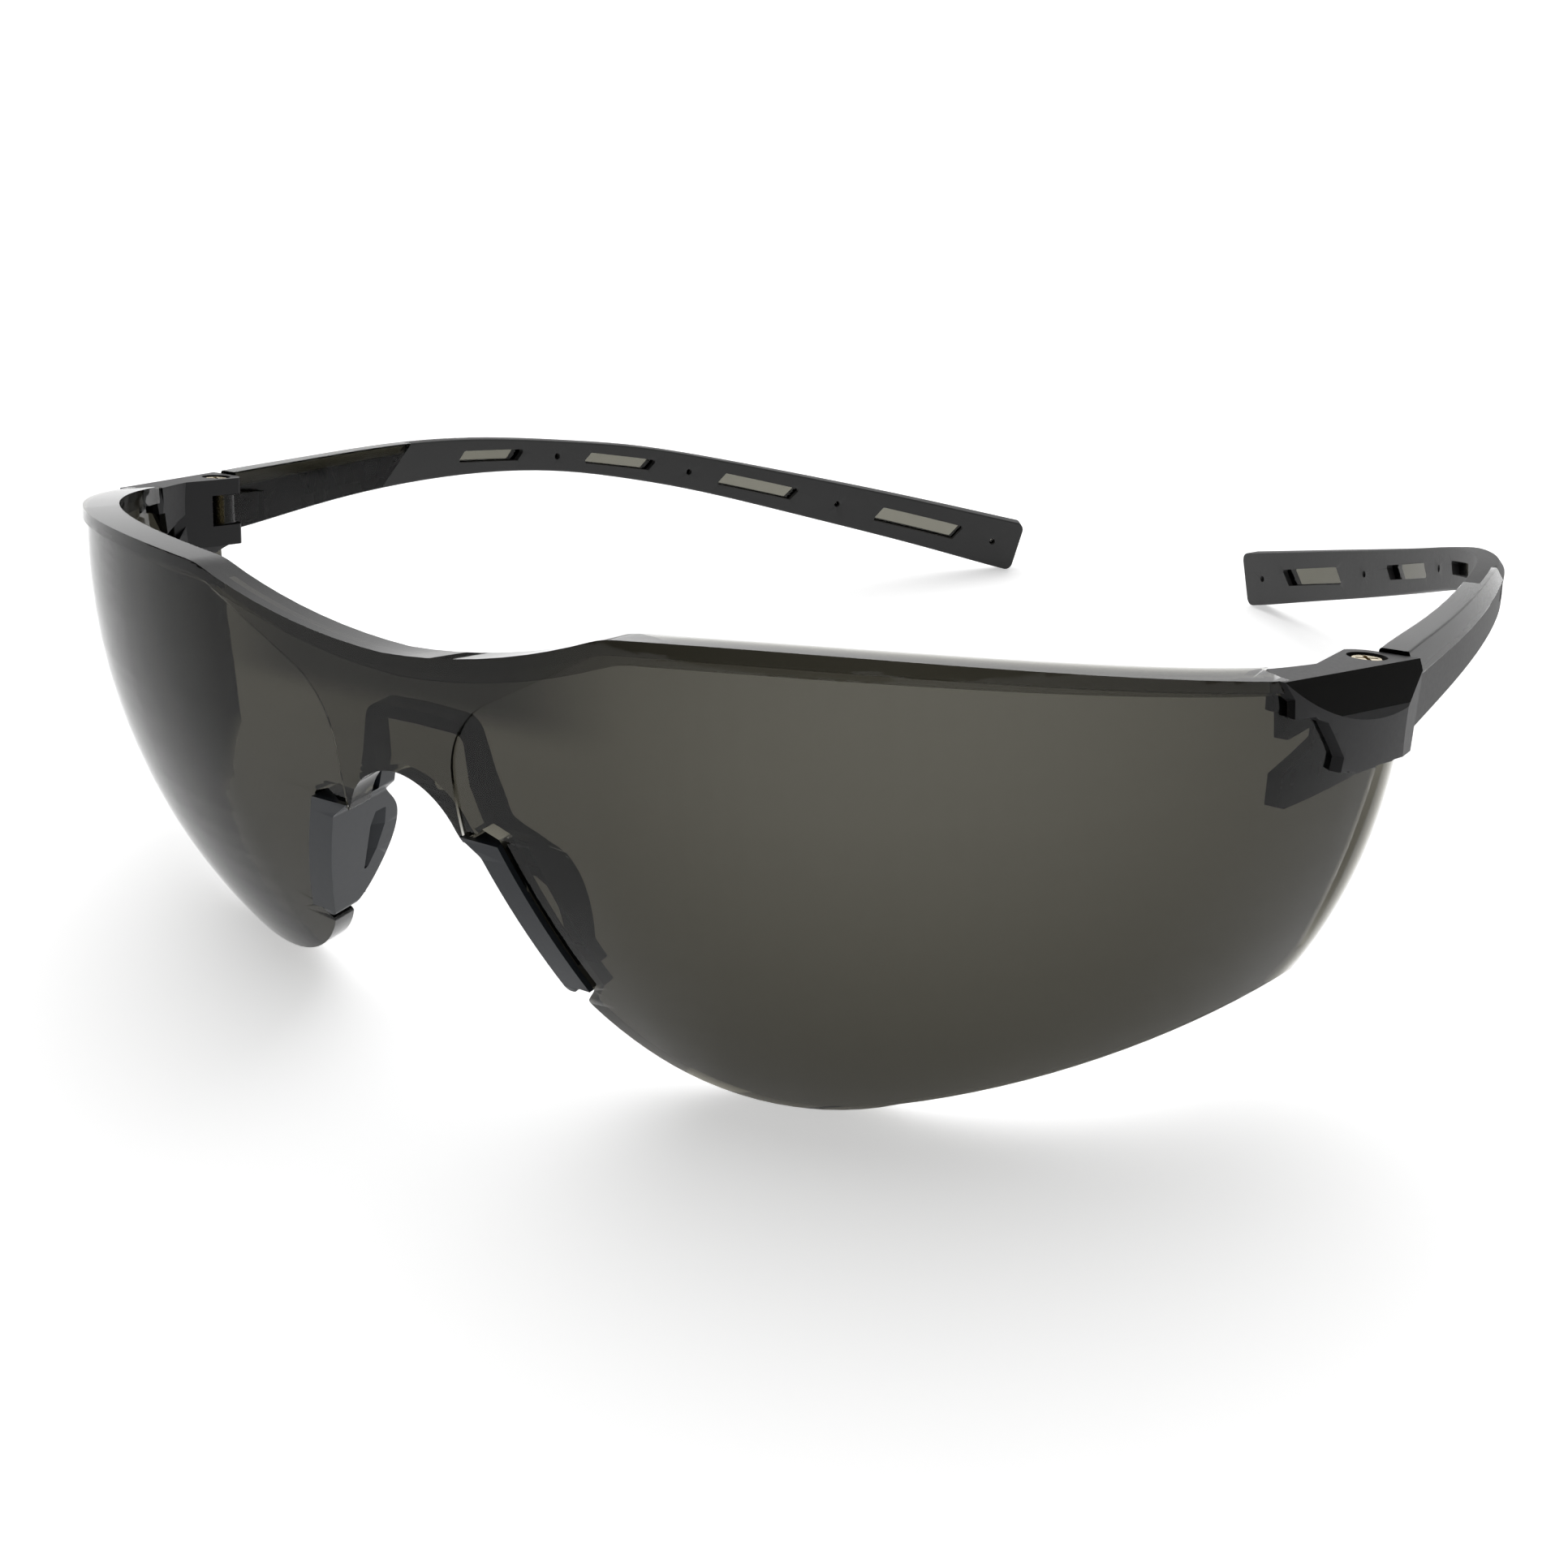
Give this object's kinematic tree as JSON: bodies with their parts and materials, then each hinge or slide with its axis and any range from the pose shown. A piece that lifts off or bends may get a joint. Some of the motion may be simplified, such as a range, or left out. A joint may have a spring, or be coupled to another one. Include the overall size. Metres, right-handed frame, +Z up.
{
  "type": "safety glasses",
  "caption": "Wrap-around safety glasses with a one-piece smoke lens, soft nose piece, and hinged curved temples with windowed soft sleeves.",
  "frame": {"origin": "centre of the bounding box's bottom face, on the table the open glasses stand on", "axes": "+X to the wearer's left, +Y backwards from the lens to the temple tips, +Z up"},
  "size_m": [0.1398, 0.1582, 0.043],
  "materials": {
    "smoke_lens": "polished smoke-tinted polycarbonate",
    "soft_nose": "satin, slightly translucent",
    "frame_plastic": "fine satin, glossy along the upper facet",
    "screw_metal": "machined",
    "smoke_core": "glossy smoke",
    "soft_sleeve": "matte soft-touch"
  },
  "bodies": {
    "front": {"lens_shield": "smoke_lens", "nose_piece": "soft_nose", "end_piece_left": "frame_plastic", "end_piece_right": "frame_plastic", "hinge_screw_left": "screw_metal", "hinge_screw_right": "screw_metal"},
    "temple_left": {"temple_core_left": "smoke_core", "temple_sleeve_left": "soft_sleeve"},
    "temple_right": {"temple_core_right": "smoke_core", "temple_sleeve_right": "soft_sleeve"}
  },
  "joints": [
    {"name": "temple_left_fold", "type": "hinge", "parent": "front", "child": "temple_left", "pos_m": [0.0661, -0.03866, 0.03254], "axis": [0, 0.1558, 0.9878], "range_deg": [0, 70]},
    {"name": "temple_right_fold", "type": "hinge", "parent": "front", "child": "temple_right", "pos_m": [-0.0661, -0.03866, 0.03254], "axis": [0, -0.1558, -0.9878], "range_deg": [0, 60]}
  ]
}
